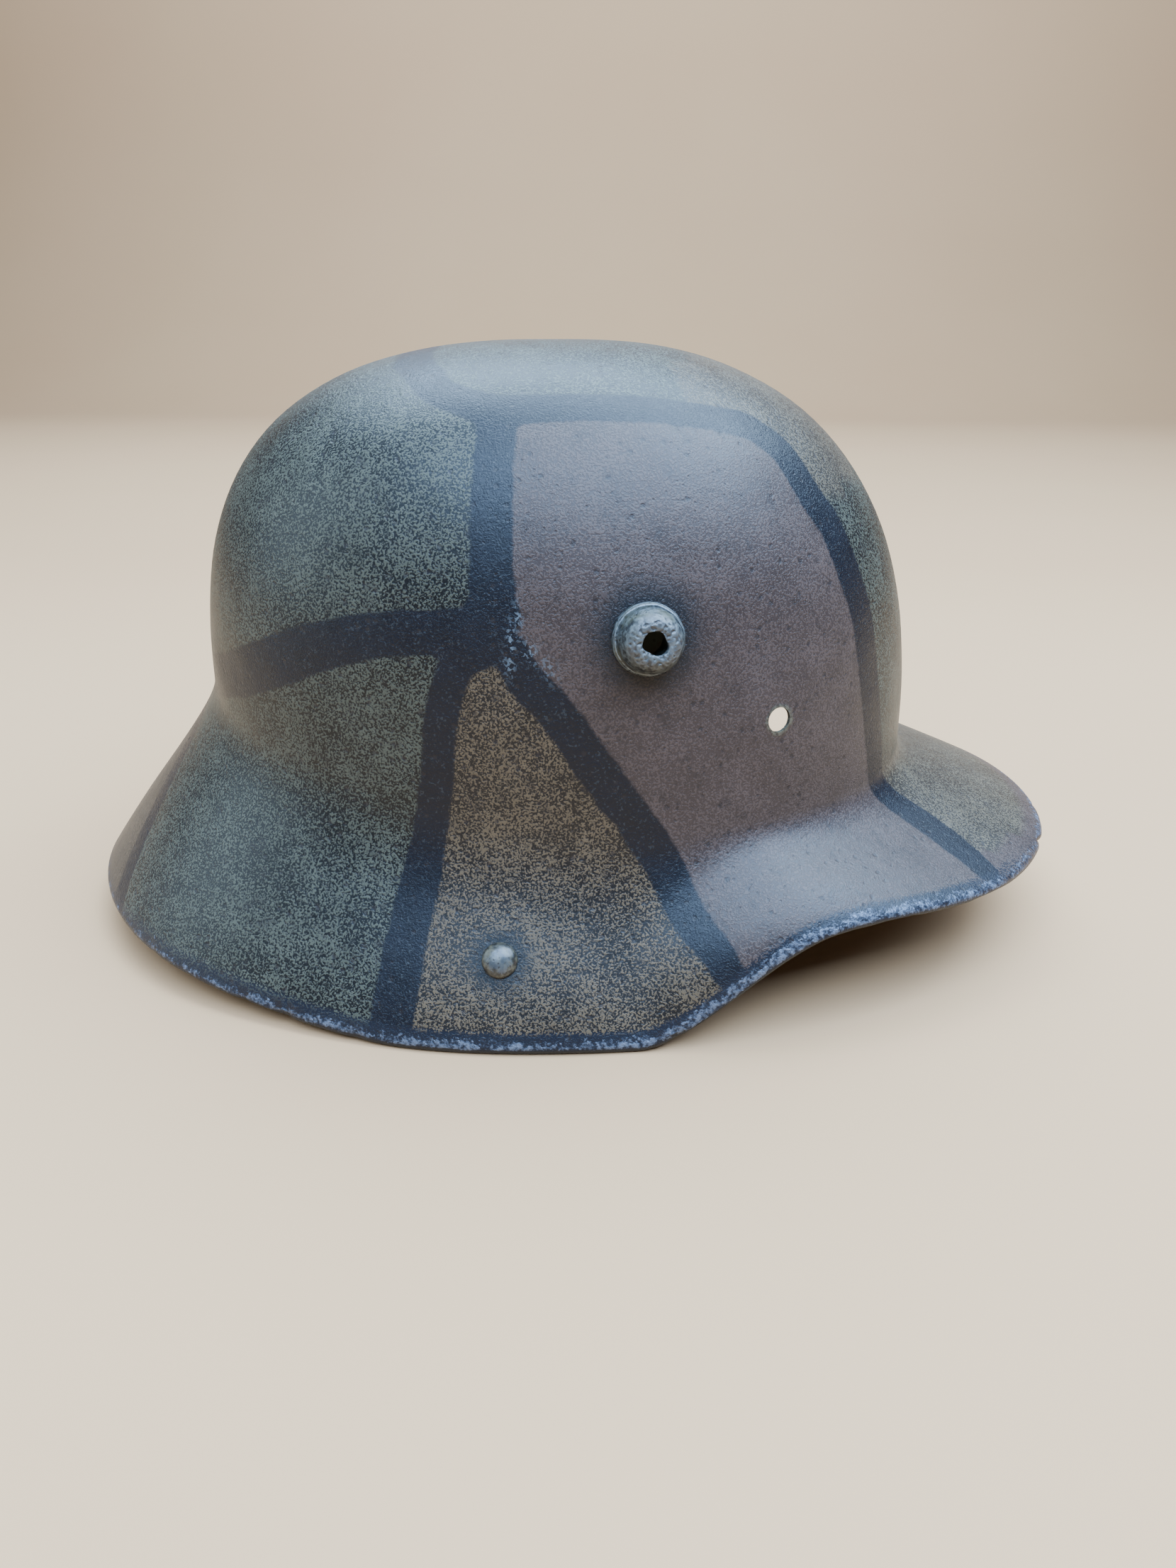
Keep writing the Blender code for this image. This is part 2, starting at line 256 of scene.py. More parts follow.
# %% Camera
FOCAL_PIXELS, IMAGE_WIDTH, IMAGE_HEIGHT = 1661.0, 1659, 2212
AIM = np.array([0.001, 0.0, 0.085])
DISTANCE, AZIMUTH, ELEVATION = 0.395, np.radians(3), np.radians(14)
AIM_PIXEL = (807.0, 895.0)

back = np.array([np.sin(AZIMUTH) * np.cos(ELEVATION), -np.cos(AZIMUTH) * np.cos(ELEVATION),
                 np.sin(ELEVATION)])
right = np.array([np.cos(AZIMUTH), np.sin(AZIMUTH), 0.0])
up = np.cross(back, right)
pitch = np.arctan((AIM_PIXEL[1] - IMAGE_HEIGHT / 2) / FOCAL_PIXELS)
yaw = np.arctan((AIM_PIXEL[0] - IMAGE_WIDTH / 2) / FOCAL_PIXELS * np.cos(pitch))
ahead = -back * np.cos(pitch) + up * np.sin(pitch)
camera_up = up * np.cos(pitch) + back * np.sin(pitch)
camera_right = right * np.cos(yaw) + ahead * np.sin(yaw)
ahead = ahead * np.cos(yaw) - right * np.sin(yaw)

camera_data = bpy.data.cameras.new("camera")
camera_data.sensor_fit = "VERTICAL"
camera_data.sensor_height = 36.0
camera_data.lens = FOCAL_PIXELS / IMAGE_HEIGHT * camera_data.sensor_height
camera = bpy.data.objects.new("camera", camera_data)
bpy.context.scene.collection.objects.link(camera)
pose = np.eye(4)
pose[:3, :4] = np.stack([camera_right, camera_up, -ahead, AIM + DISTANCE * back], -1)
camera.matrix_world = Matrix(pose.tolist())
bpy.context.scene.camera = camera
print("camera at", np.round(AIM + DISTANCE * back, 3), "lens", round(camera_data.lens, 2), "mm")


# %% Building blocks for meshes
def grid_faces(rows, columns, row_wrap=False, column_wrap=True):
    """Corner numbers of the quads of a grid of points, as one array, winding the same way."""
    i = np.arange(rows if row_wrap else rows - 1)[:, None]
    j = np.arange(columns if column_wrap else columns - 1)[None, :]
    i2, j2 = (i + 1) % rows, (j + 1) % columns
    return np.stack([i * columns + j, i2 * columns + j, i2 * columns + j2, i * columns + j2],
                    -1).reshape(-1, 4)


def mesh_object(name, points, faces, material=None):
    """An object at the origin; smooth shaded. faces is a list of arrays of 3 or 4 columns."""
    mesh = bpy.data.meshes.new(name)
    mesh.from_pydata(points.reshape(-1, 3).tolist(), [], [f for part in faces for f in part.tolist()])
    mesh.update()
    made = bpy.data.objects.new(name, mesh)
    bpy.context.scene.collection.objects.link(made)
    if material:
        mesh.materials.append(material)
    mesh.shade_smooth()
    return made


def apply_modifiers(made):
    """Replaces the object's mesh by what its modifiers make of it."""
    bpy.context.view_layer.update()
    done = bpy.data.meshes.new_from_object(
        made.evaluated_get(bpy.context.evaluated_depsgraph_get()))
    made.modifiers.clear()
    made.data = done
    return len(done.vertices)


def points_of(made):
    """All vertices of a mesh object as one array."""
    flat = np.empty(len(made.data.vertices) * 3, np.float32)
    made.data.vertices.foreach_get("co", flat)
    return flat.reshape(-1, 3).astype(float)


def waves(points, size, seed, count=24):
    """Smooth unevenness from -1 to 1: a mean of sine waves with seeded directions, of one size."""
    rng = np.random.default_rng(seed)
    way = unit(rng.normal(size=(count, 3))) * rng.uniform(0.7, 1.4, (count, 1)) * 2 * np.pi / size
    phase = rng.uniform(0, 2 * np.pi, count)
    return np.clip(np.sin(points @ way.T + phase).sum(-1) / np.sqrt(count), -1, 1)


# %% [markdown]
# ## Finishes
#
# Four small node groups are shared by all the finishes. Each gives only a mask, and the materials
# turn masks into colour, roughness and height. All patterns are read in object space, so their size
# is in metres and they stay on the metal.

# %% Building blocks for finishes
def srgb(red, green, blue):
    """A colour given as the eye sees it, 0 to 255, turned into linear light."""
    value = np.array([red, green, blue]) / 255
    linear = np.where(value <= 0.04045, value / 12.92, ((value + 0.055) / 1.055) ** 2.4)
    return (*linear.tolist(), 1.0)


class Graph:
    """A short way to write a node tree: each call adds one node and gives back its output."""

    def __init__(self, tree):
        self.tree = tree

    def feed(self, node, inputs):
        """Links an output, or sets a constant, to each named input."""
        for socket, value in inputs.items():
            if isinstance(value, bpy.types.NodeSocket):
                self.tree.links.new(value, node.inputs[socket])
            else:
                node.inputs[socket].default_value = value

    def add(self, kind, inputs, out=0, **settings):
        node = self.tree.nodes.new(kind)
        for key, value in settings.items():
            setattr(node, key, value)
        self.feed(node, inputs)
        return node.outputs[out]

    def math(self, operation, a, b=0.0, c=0.0):
        return self.add("ShaderNodeMath", {0: a, 1: b, 2: c}, operation=operation)

    def times(self, a, b):
        return self.math("MULTIPLY", a, b)

    def plus(self, a, b):
        return self.math("ADD", a, b)

    def minus(self, a, b):
        return self.math("SUBTRACT", a, b)

    def scaled(self, value, factor, offset):
        """Value times factor plus offset."""
        return self.math("MULTIPLY_ADD", value, factor, offset)

    def total(self, *terms):
        """The sum of values, each times its weight."""
        result = 0.0
        for value, weight in terms:
            result = self.scaled(value, weight, result)
        return result

    def place(self):
        """The point's own place on the object, in metres."""
        return self.add("ShaderNodeTexCoord", {}, out=3)

    def mix(self, share, a, b, blend="MIX"):
        return self.add("ShaderNodeMix", {0: share, 6: a, 7: b}, out=2, data_type="RGBA",
                        blend_type=blend)

    def over(self, colour, mask, strength, tint):
        """A tint laid over a colour where the mask is, at most as strong as told."""
        return self.mix(self.times(mask, strength), colour, tint)

    def smooth(self, value, low, high):
        return self.add("ShaderNodeMapRange", {0: value, 1: low, 2: high, 3: 0.0, 4: 1.0},
                        interpolation_type="SMOOTHSTEP")

    def noise(self, vector, size, detail=2.0, roughness=0.5, distortion=0.0):
        linked = isinstance(size, bpy.types.NodeSocket)
        scale = self.math("DIVIDE", 1.0, size) if linked else 1 / size
        return self.add("ShaderNodeTexNoise", {"Vector": vector, "Scale": scale, "Detail": detail,
                                               "Roughness": roughness, "Distortion": distortion})

    def attribute(self, name, out=2):
        return self.add("ShaderNodeAttribute", {}, out=out, attribute_name=name)

    def group(self, made, inputs):
        return self.add("ShaderNodeGroup", inputs, node_tree=made)


def new_group(name, inputs):
    """A node group with the given inputs and one output called Mask; gives its graph and inputs."""
    tree = bpy.data.node_groups.new(name, "ShaderNodeTree")
    for label, kind, value in inputs:
        socket = tree.interface.new_socket(label, in_out="INPUT", socket_type=kind)
        if kind == "NodeSocketFloat":
            socket.default_value = value
    tree.interface.new_socket("Mask", in_out="OUTPUT", socket_type="NodeSocketFloat")
    entry = tree.nodes.new("NodeGroupInput")
    return tree, Graph(tree), entry.outputs


def close_group(tree, value):
    """Sends a value to the group's output."""
    leave = tree.nodes.new("NodeGroupOutput")
    tree.links.new(value, leave.inputs["Mask"])
    return tree


def dress(material):
    """Gives a material a tree with only its shader and output: its graph and its shader."""
    material.use_nodes = True
    return Graph(material.node_tree), material.node_tree.nodes["Principled BSDF"]


def new_material(name):
    """A new material with its graph and its shader."""
    material = bpy.data.materials.new(name)
    return material, *dress(material)


def connect(graph, shader, **sockets):
    """Links or sets the shader's sockets; an underscore in a name stands for a space."""
    graph.feed(shader, {label.replace("_", " "): value for label, value in sockets.items()})


# %% [markdown]
# Speckle is what a stiff brush or years of wear leave of one paint over another: small worm-like
# blobs. A slightly twisted noise is cut at the height that leaves the wanted share.

# %% Speckle
speckle, g, given = new_group("speckle", (
    ("Vector", "NodeSocketVector", None), ("Size", "NodeSocketFloat", 0.001),
    ("Share", "NodeSocketFloat", 0.5), ("Softness", "NodeSocketFloat", 0.06)))
worms = g.noise(given["Vector"], given["Size"], detail=1.6, roughness=0.55, distortion=0.35)
cut = g.scaled(given["Share"], -0.36, 0.68)
low = g.minus(cut, given["Softness"])
high = g.plus(cut, given["Softness"])
close_group(speckle, g.smooth(worms, low, high))

# %% [markdown]
# The brushed lines have a soft, slightly ragged edge. The distance to the line's edge is stored on
# the mesh in millimetres; two noises push it in and out before it is cut.

# %% Brush edge
brush_edge, g, given = new_group("brush_edge", (
    ("Vector", "NodeSocketVector", None), ("Distance", "NodeSocketFloat", 0.0),
    ("Ragged", "NodeSocketFloat", 1.0), ("Softness", "NodeSocketFloat", 0.8)))
slow = g.minus(g.noise(given["Vector"], 0.009), 0.5)
quick = g.minus(g.noise(given["Vector"], 0.0011), 0.5)
push = g.total((slow, 3.2), (quick, 2.4))
moved = g.scaled(push, given["Ragged"], given["Distance"])
low = g.times(given["Softness"], -1.0)
close_group(brush_edge, g.smooth(moved, low, given["Softness"]))

# %% [markdown]
# Pits are small round hollows of old rust. Cells with a random point each give discs of different
# sizes, and only some of the cells get one.

# %% Pits
pits, g, given = new_group("pits", (
    ("Vector", "NodeSocketVector", None), ("Size", "NodeSocketFloat", 0.002),
    ("Share", "NodeSocketFloat", 0.3)))
wobble = g.add("ShaderNodeTexNoise", {"Vector": given["Vector"], "Scale": 900.0, "Detail": 1.0}, out=1)
shift = g.add("ShaderNodeVectorMath", {0: wobble, 1: (0.5, 0.5, 0.5)}, operation="SUBTRACT")
shift = g.add("ShaderNodeVectorMath", {0: shift, 3: 0.0008}, operation="SCALE")
bent = g.add("ShaderNodeVectorMath", {0: given["Vector"], 1: shift}, operation="ADD")
cells = g.tree.nodes.new("ShaderNodeTexVoronoi")
g.tree.links.new(bent, cells.inputs["Vector"])
g.tree.links.new(g.math("DIVIDE", 1.0, given["Size"]), cells.inputs["Scale"])
chance = g.add("ShaderNodeSeparateColor", {0: cells.outputs["Color"]})
chosen = g.math("LESS_THAN", chance, given["Share"])
disc = g.minus(1.0, g.smooth(cells.outputs["Distance"], 0.12, 0.34))
close_group(pits, g.times(disc, chosen))

# %% [markdown]
# Wear starts where hands and shelves rub: on the rolled edge and on the lugs' corners. How likely
# it is at a point is stored on the mesh; noise at two sizes breaks it into patches and scratches.

# %% Wear
wear, g, given = new_group("wear", (
    ("Vector", "NodeSocketVector", None), ("Amount", "NodeSocketFloat", 0.0),
    ("Size", "NodeSocketFloat", 0.004)))
broad = g.noise(given["Vector"], given["Size"], detail=3.0, roughness=0.6)
fine = g.noise(given["Vector"], 0.0007)
both = g.scaled(fine, 0.4, g.times(broad, 0.6))
close_group(wear, g.smooth(g.plus(both, g.times(given["Amount"], 0.45)), 0.72, 0.86))
print("node groups", [group.name for group in bpy.data.node_groups])

# %% Floor, room light and lamps
floor_material, g, shader = new_material("floor_paper")
place = g.place()
cloud = g.noise(place, 0.35, detail=3.0)
connect(g, shader, Base_Color=g.mix(cloud, srgb(177, 134, 94), srgb(182, 140, 100)), Roughness=0.85)
FLOOR_HALF, WALL_RISE, BEND = 3.0, 2.2, 0.8
run = np.concatenate([[-FLOOR_HALF], FLOOR_HALF - BEND + BEND * np.sin(np.linspace(0, np.pi / 2, 17)),
                      [FLOOR_HALF]])
rise = np.concatenate([[0.0], BEND * (1 - np.cos(np.linspace(0, np.pi / 2, 17))), [WALL_RISE]])
sides = np.array([-FLOOR_HALF, FLOOR_HALF])
sheet = np.stack(np.broadcast_arrays(sides[None, :], run[:, None], rise[:, None]), -1)
floor = mesh_object("floor", sheet, [grid_faces(len(run), 2, column_wrap=False)[:, ::-1]],
                    floor_material)


def lamp(name, place, target, width, height, power, colour):
    """A soft rectangular lamp that faces a point."""
    data = bpy.data.lights.new(name, "AREA")
    data.shape = "RECTANGLE"
    data.size, data.size_y = width, height
    data.energy = power
    data.color = colour
    made = bpy.data.objects.new(name, data)
    bpy.context.scene.collection.objects.link(made)
    way = Vector(target) - Vector(place)
    made.matrix_world = Matrix.Translation(place) @ way.to_track_quat("-Z", "Y").to_matrix().to_4x4()
    return made


lamp("sky_front", (0.30, -0.60, 1.20), (0, 0, 0.1), 2.2, 1.0, 124, (0.42, 0.65, 1.0))
lamp("sky_top", (0.15, 0.45, 1.35), (0, 0, 0.1), 2.2, 1.1, 128, (0.50, 0.73, 1.0))
lamp("left_window", (-1.5, -0.3, 0.7), (0, 0, 0.08), 1.0, 1.0, 16, (0.60, 0.82, 1.0))
lamp("backdrop_wash", (0.0, 1.3, 1.5), (0, 3.0, 0.7), 2.4, 0.8, 136, (0.46, 0.69, 1.0))
world = bpy.data.worlds.new("room")
world.use_nodes = True
bpy.context.scene.world = world
world.node_tree.nodes["Background"].inputs[0].default_value = (0.88, 0.88, 0.88, 1)
world.node_tree.nodes["Background"].inputs[1].default_value = 0.22

# %% [markdown]
# ## The shell
#
# One sheet of steel, so one grid of points: 480 columns round the head and rows from the crown over
# the waist and down the flare. The last rows run round the rolled edge until it nearly touches the
# inner face again, as a curled bead does. Solidify then gives the sheet its 1 mm towards the inside.
#
# Old helmets are never quite true. A few wide shallow dents and a slow waviness of a tenth of a
# millimetre bend the reflections, which the eye notices sooner than the form itself. They go only
# inwards, and die away round the fittings and at the rim.

# %% The fine grid
ANGLES = np.linspace(-180, 180, 480, endpoint=False)
CROWN_ROWS, FLARE_ROWS, ROLL_ROWS = 42, 26, 16
CURL, CURL_SHARE = 292, 0.985  # how far the edge is rolled in, in degrees, and its share of the radius
CALM_RADIUS = 0.010  # round each fitting nothing is bent
DENTS = (  # angle, height, radius and depth in millimetres
    (-128, 160, 16, 0.5), (-84, 152, 20, 0.4), (-47, 138, 13, 0.35), (-116, 74, 18, 0.45),
    (-66, 84, 20, 0.3), (-150, 110, 22, 0.4), (-30, 96, 16, 0.3), (60, 150, 20, 0.6),
    (110, 130, 24, 0.5), (150, 150, 18, 0.5), (80, 60, 18, 0.5), (20, 150, 14, 0.4),
)
HEAD_MIDDLE = np.array([0.0, 0.0, 0.09])

share = np.arange(1, CROWN_ROWS + 1) / CROWN_ROWS
crown_depths = (share + (1 - np.cos(np.pi * share)) / 2) / 2
flare_depths = 1 + np.arange(1, FLARE_ROWS + 1) / FLARE_ROWS
sheet = skin(ANGLES[None, :], np.concatenate([crown_depths, flare_depths])[:, None])

slope = round_head("slope", ANGLES)
share = (np.arange(1, ROLL_ROWS + 1) / ROLL_ROWS)[:, None]
turns = (90 - slope)[None, :] - CURL * share
angles = np.broadcast_to(ANGLES, turns.shape)
curl = centred(on_roll(angles, turns, ROLL_RADIUS * CURL_SHARE))
grid = np.concatenate([sheet, curl])
print("grid", grid.shape, "lowest point", round(grid[..., 2].min() * 1000, 2), "mm")


# %% Dents
def fittings():
    """Centres of the lugs, rivets and pin holes on the face."""
    spots = [spot(side * a, d)[:3, 3] for a, d in (LUG_SPOT, RIVET_SPOT) for side in (-1, 1)]
    return np.array(spots + [spot(a, d)[:3, 3] for a, d in PIN_SPOTS])


def inward(points):
    """How far each point goes in: dents as bell curves, plus slow waves, none at the fittings."""
    push = 0.00016 * (1 + waves(points, 0.055, 3)) / 2 + 0.00010 * (1 + waves(points, 0.024, 4)) / 2
    for angle, height, radius, depth in DENTS:
        middle = at_height(np.array([float(angle)]), np.array([height * MM]))[0]
        near = np.linalg.norm(points - middle, axis=-1) / (radius * MM)
        push = push + depth * MM * np.exp(-near ** 2)
    for middle in fittings():
        near = np.linalg.norm(points - middle, axis=-1)
        push = push * np.clip(near / CALM_RADIUS - 1, 0, 1)
    return push


way = unit(grid - HEAD_MIDDLE)
keep = np.ones(len(grid))
keep[-ROLL_ROWS - 5:] = np.clip(np.linspace(0.9, -1.5, ROLL_ROWS + 5), 0, 1)
grid = grid - way * (inward(grid) * keep[:, None])[..., None]

NOTCHES = (  # angle, width in degrees, bite in millimetres: chips in the rolled edge
    (-18.5, 1.3, 1.5), (-5.0, 1.0, 0.4), (-76.5, 0.8, 0.8), (-110, 0.7, 0.4), (-118.5, 0.9, 0.8),
    (-124, 0.5, 0.4),
    (-140, 0.7, 0.4), (60, 1.0, 0.8), (128, 0.8, 0.6), (171, 0.6, 0.5),
)
bite = np.zeros_like(ANGLES)
for angle, width, depth in NOTCHES:
    bite += depth * MM * np.exp(-((ANGLES - angle) / width) ** 2)
centre, _, _ = rim_frame(ANGLES)
centre = centred(centre)
edge = grid[-ROLL_ROWS:]
toward = unit(np.array([0.0, 0.0, 0.05]) - centre)
grid[-ROLL_ROWS:] = edge + toward * bite[:, None] * np.array([1, 1, 0.35])

STEPS = ((-118.6, -76.6), (79.0, 121.0))  # where the bead kept its full depth, in degrees
STEP_HEIGHT, LENGTH_SHARE = 0.0009, 0.9993  # the second keeps it a hair inside the solids' length
full = sum(((ANGLES > first) & (ANGLES < last)).astype(float) for first, last in STEPS)
loss = np.convolve(np.pad(1 - full, 1, mode="wrap"), [0.25, 0.5, 0.25], "valid")
ripple = waves(np.stack([ANGLES, 0 * ANGLES, 0 * ANGLES], -1), 9.0, 8)
lowest = rim_line(ANGLES)[:, 2] + STEP_HEIGHT * loss * (1 + 0.5 * ripple)
grid[-ROLL_ROWS:, :, 2] = np.maximum(grid[-ROLL_ROWS:, :, 2], lowest)
grid[..., 2] = np.maximum(grid[..., 2], 0.00002)
grid[..., 0] *= LENGTH_SHARE

# %% The sheet gets its wall
columns = len(ANGLES)
crown = np.array([[-(VISOR_REACH - NECK_REACH) / 2, 0, HEIGHT - 0.00012]])
points = np.concatenate([crown, grid.reshape(-1, 3)])
k = np.arange(columns)
fan = np.stack([np.zeros_like(k), 1 + k, 1 + (k + 1) % columns], -1)
quads = 1 + grid_faces(len(grid), columns)
shell = mesh_object("helmet_shell", points, [fan, quads])
outer_coat = bpy.data.materials.new("camouflage_paint")
inner_coat = bpy.data.materials.new("inside_coat")
for coat in (outer_coat, inner_coat):
    shell.data.materials.append(coat)
wall = shell.modifiers.new("wall", "SOLIDIFY")
wall.thickness = WALL
wall.offset = -1
wall.use_even_offset = False
wall.material_offset = 1
wall.material_offset_rim = 1
print("shell rows", len(grid), "columns", columns)

# %% [markdown]
# Seven holes are drilled: three for the liner's pins, two for the lugs and two for the rivets. One
# joined mesh of short rods cuts them all in one exact Boolean.

# %% Holes
def rods(places, sides=40, length=0.012):
    """Short closed rods, each a ring of points at two heights, as one mesh."""
    turn = np.linspace(0, 2 * np.pi, sides, endpoint=False)
    ring = np.stack([np.cos(turn), np.sin(turn), np.zeros(sides)], -1)
    points, faces, start = [], [], 0
    for place, radius in places:
        two = np.concatenate([ring * radius + [0, 0, -length], ring * radius + [0, 0, length]])
        points.append(two @ place[:3, :3].T + place[:3, 3])
        faces.append(start + grid_faces(2, sides)[:, ::-1])
        faces.append(start + np.arange(sides)[None, ::-1])
        faces.append(start + sides + np.arange(sides)[None, :])
        start += 2 * sides
    return np.concatenate(points), faces


places = [(spot(a, d), PIN_HOLE_RADIUS) for a, d in PIN_SPOTS]
places += [(spot(s * LUG_SPOT[0], LUG_SPOT[1]), LUG_HOLE_RADIUS) for s in (-1, 1)]
places += [(spot(s * RIVET_SPOT[0], RIVET_SPOT[1]), RIVET_HOLE_RADIUS) for s in (-1, 1)]
cutter = mesh_object("hole_cutter", *rods(places))
cut = shell.modifiers.new("holes", "BOOLEAN")
cut.operation = "DIFFERENCE"
cut.solver = "EXACT"
cut.object = cutter
print("vertices with wall and holes", apply_modifiers(shell))
bpy.data.objects.remove(cutter, do_unlink=True)
shell.data.set_sharp_from_angle(angle=np.radians(50))

# %% [markdown]
# ## Camouflage
#
# The pattern is charted as the painter would: each line is a short list of places, given by
# the angle round the head and the height above the table in millimetres, with half its width. The
# lines are laid on the steel as curves in space, and each point of the mesh stores how far inside
# the nearest line it lies. So the lines follow the form and keep their width on the flare.

# %% Lines
LINES = {  # angle, height mm, half width mm
    "side_down": ((-97, 161, 5.2), (-96, 148, 5.2), (-95.5, 130, 5.4), (-95, 112, 6.0)),
    "top_forward": ((-97, 161, 5.0), (-85, 162, 5.0), (-72, 161, 4.8), (-60, 159, 4.8),
                    (-52, 156.5, 5.0)),
    "top_back": ((-97, 161, 5.0), (-108, 164, 5.0), (-119, 169.5, 5.2), (-140, 173.5, 5.5),
                 (-165, 174.5, 5.5), (-195, 174, 5.5), (-222, 171, 5.5), (-242, 164, 5.5),
                 (-256, 150, 5.5)),
    "front": ((-52, 156.5, 5.0), (-46.5, 150, 5.3), (-45, 140, 5.5), (-41.5, 130, 5.5),
              (-40, 120, 5.5), (-38, 110, 5.5), (-37, 100, 5.5), (-36, 90, 5.5), (-35, 80, 5.3),
              (-33.5, 70, 5.2), (-31, 60, 5.2), (-31, 52, 5.2), (-33.5, 45, 6.0), (-35.5, 40, 6.0),
              (-36.5, 34, 5.0)),
    "rear": ((-97, 109, 6.0), (-110, 107, 5.8), (-120, 102, 6.6), (-130, 95, 7.2),
             (-140, 88.5, 7.0), (-152, 83, 6.4), (-168, 79, 6.0), (-180, 78, 6.0)),
    "side_foot": ((-99, 103, 4.6), (-101.5, 90, 4.6), (-102.5, 70, 4.5), (-103.8, 52, 5.0),
                  (-105.2, 35, 5.6), (-105.8, 20, 6.0), (-106.3, 4, 6.2)),
    "diagonal": ((-93, 104, 5.0), (-91.4, 96.5, 5.0), (-88, 87, 5.2), (-85, 77, 5.4),
                 (-81, 64, 5.4), (-77.4, 54, 5.4), (-73.7, 43, 5.2), (-71.8, 35, 5.0),
                 (-70, 27, 4.6), (-70, 20, 4.0)),
    "knot": ((-94.5, 112, 5.8), (-95.5, 107, 6.6), (-98, 104, 6.0)),
    "neck_right": ((-172, 76, 4.6), (-164, 58, 4.4), (-157, 34, 4.4), (-152, 12, 4.6)),
    "left_side_down": ((104, 150, 5.5), (101, 135, 5.2), (99, 120, 5.2), (97, 106, 6.0)),
    "left_top": ((104, 150, 5.5), (88, 158, 5.2), (70, 160, 5.0), (56, 157, 5.0), (47, 150, 5.2),
                 (43, 138, 5.4), (40, 122, 5.5), (38, 104, 5.5), (36, 86, 5.4), (34, 70, 5.2),
                 (31, 58, 5.2), (33, 46, 5.2), (37, 36, 4.2)),
    "left_rear": ((97, 106, 6.0), (112, 106, 6.0), (128, 99, 6.6), (144, 90, 6.6), (160, 82, 6.2),
                  (180, 78, 6.0)),
    "left_foot": ((97, 104, 5.4), (102, 84, 4.8), (108, 60, 4.8), (112, 36, 5.4), (115, 12, 5.8),
                  (116, 0, 5.8)),
    "left_diagonal": ((96, 104, 5.4), (90, 90, 5.2), (84, 72, 5.4), (79, 52, 5.4), (76, 34, 5.0),
                      (74.5, 14, 4.8), (74, 0, 4.8)),
    "back": ((172, 80, 5.4), (172, 110, 5.4), (172, 145, 5.4), (172, 172, 5.4)),
}


def laid(line, step=0.25):
    """The line's places joined, rounded off by a running mean, and laid on the outer face."""
    rows = np.array(line, float)
    at = np.arange(len(rows))
    fine = np.arange(0, len(rows) - 1 + step / 8, step / 4)
    chart = np.stack([np.interp(fine, at, rows[:, k]) for k in range(3)], -1)
    padded = np.pad(chart, ((6, 6), (0, 0)), mode="reflect", reflect_type="odd")
    chart = np.stack([np.convolve(padded[:, k], np.ones(13) / 13, "valid") for k in range(3)], -1)
    return at_height(chart[:, 0], chart[:, 1] * MM), chart[:, 2]


def nearest(points, line, block=4000):
    """For each point the distance to the nearest point of a line, and that point's number."""
    found, number = np.empty(len(points)), np.empty(len(points), int)
    for start in range(0, len(points), block):
        part = points[start:start + block]
        square = ((part[:, None, :] - line[None, :, :]) ** 2).sum(-1)
        number[start:start + block] = square.argmin(1)
        found[start:start + block] = np.sqrt(square.min(1))
    return found, number


def inside_lines(points):
    """Millimetres inside the nearest line's edge; negative outside every line."""
    best = np.full(len(points), -40.0)
    for line in LINES.values():
        curve, half = laid(line)
        distance, number = nearest(points, curve)
        best = np.maximum(best, half[number] - distance * 1000)
    return best


points = points_of(shell)
stripe = inside_lines(points)
print("share of points under the lines", round(float((stripe > 0).mean()), 3))

# %% [markdown]
# The patches between the lines are outlined the same way. On the real helmet each patch is one
# colour stippled over a darker coat, so each has a light and a dark colour. Edges between patches
# run under the lines.

# %% Patches
PAINTS = {  # the stippled paint and the coat under it
    "green": (srgb(76, 77, 66), srgb(12, 13, 15)),
    "ochre": (srgb(96, 80, 61), srgb(25, 21, 20)),
    "brown": (srgb(80, 65, 60), srgb(60, 48, 45)),
    "olive": (srgb(94, 83, 67), srgb(46, 40, 35)),
    "beige": (srgb(84, 70, 58), srgb(33, 28, 26)),
}
PATCHES = (  # paint, then angle and height mm of the outline's corners
    ("brown", ((-36, 45), (36, 45), (40, -5), (-40, -5))),
    ("olive", ((-32, 58), (32, 58), (36, 37), (30, 35), (20, 34.4), (0, 34), (-20, 34.4), (-30, 35),
               (-35, 37))),
    ("olive", ((-52, 157), (-44, 138), (-20, 140), (5, 152), (10, 168), (-20, 174), (-60, 171),
               (-66, 160))),
    ("brown", ((-97, 161), (-96, 130), (-95, 112), (-93, 104), (-88, 87), (-81, 64), (-73.7, 43),
               (-70, 27), (-68, -5), (-50, -5), (-38, -5), (-36.5, 36), (-31, 55), (-33.5, 70),
               (-35, 80), (-37, 100), (-40, 120), (-45, 140), (-52, 156.5), (-72, 161))),
    ("ochre", ((-98, 106), (-101.5, 90), (-103, 60), (-105, 35), (-106, 8), (-106.3, -5), (-68, -5),
               (-70, 27), (-73.7, 43), (-81, 64), (-88, 87), (-93, 104))),
    ("beige", ((-172, 77), (-164, 58), (-157, 34), (-152, 12), (-150, -5), (-180, -5), (-180, 77))),
    ("beige", ((180, 77), (180, -5), (115, -5), (112, 36), (108, 60), (102, 84), (97, 106),
               (128, 99), (144, 90))),
    ("ochre", ((104, 150), (99, 120), (97, 106), (90, 90), (84, 72), (76, 34), (74, -5), (38, -5),
               (33, 46), (34, 70), (38, 104), (43, 138), (56, 157), (88, 158))),
    ("brown", ((97, 104), (102, 84), (108, 60), (112, 36), (115, -5), (75, -5), (79, 52), (90, 90))),
    ("brown", ((104, 150), (99, 120), (97, 106), (128, 99), (144, 90), (172, 80), (172, 174),
               (165, 174), (138, 171), (118, 164))),
)


def bearing(points):
    """The compass direction about the head's middle, in degrees."""
    return np.degrees(np.arctan2(points[:, 1], points[:, 0] + 0.002))


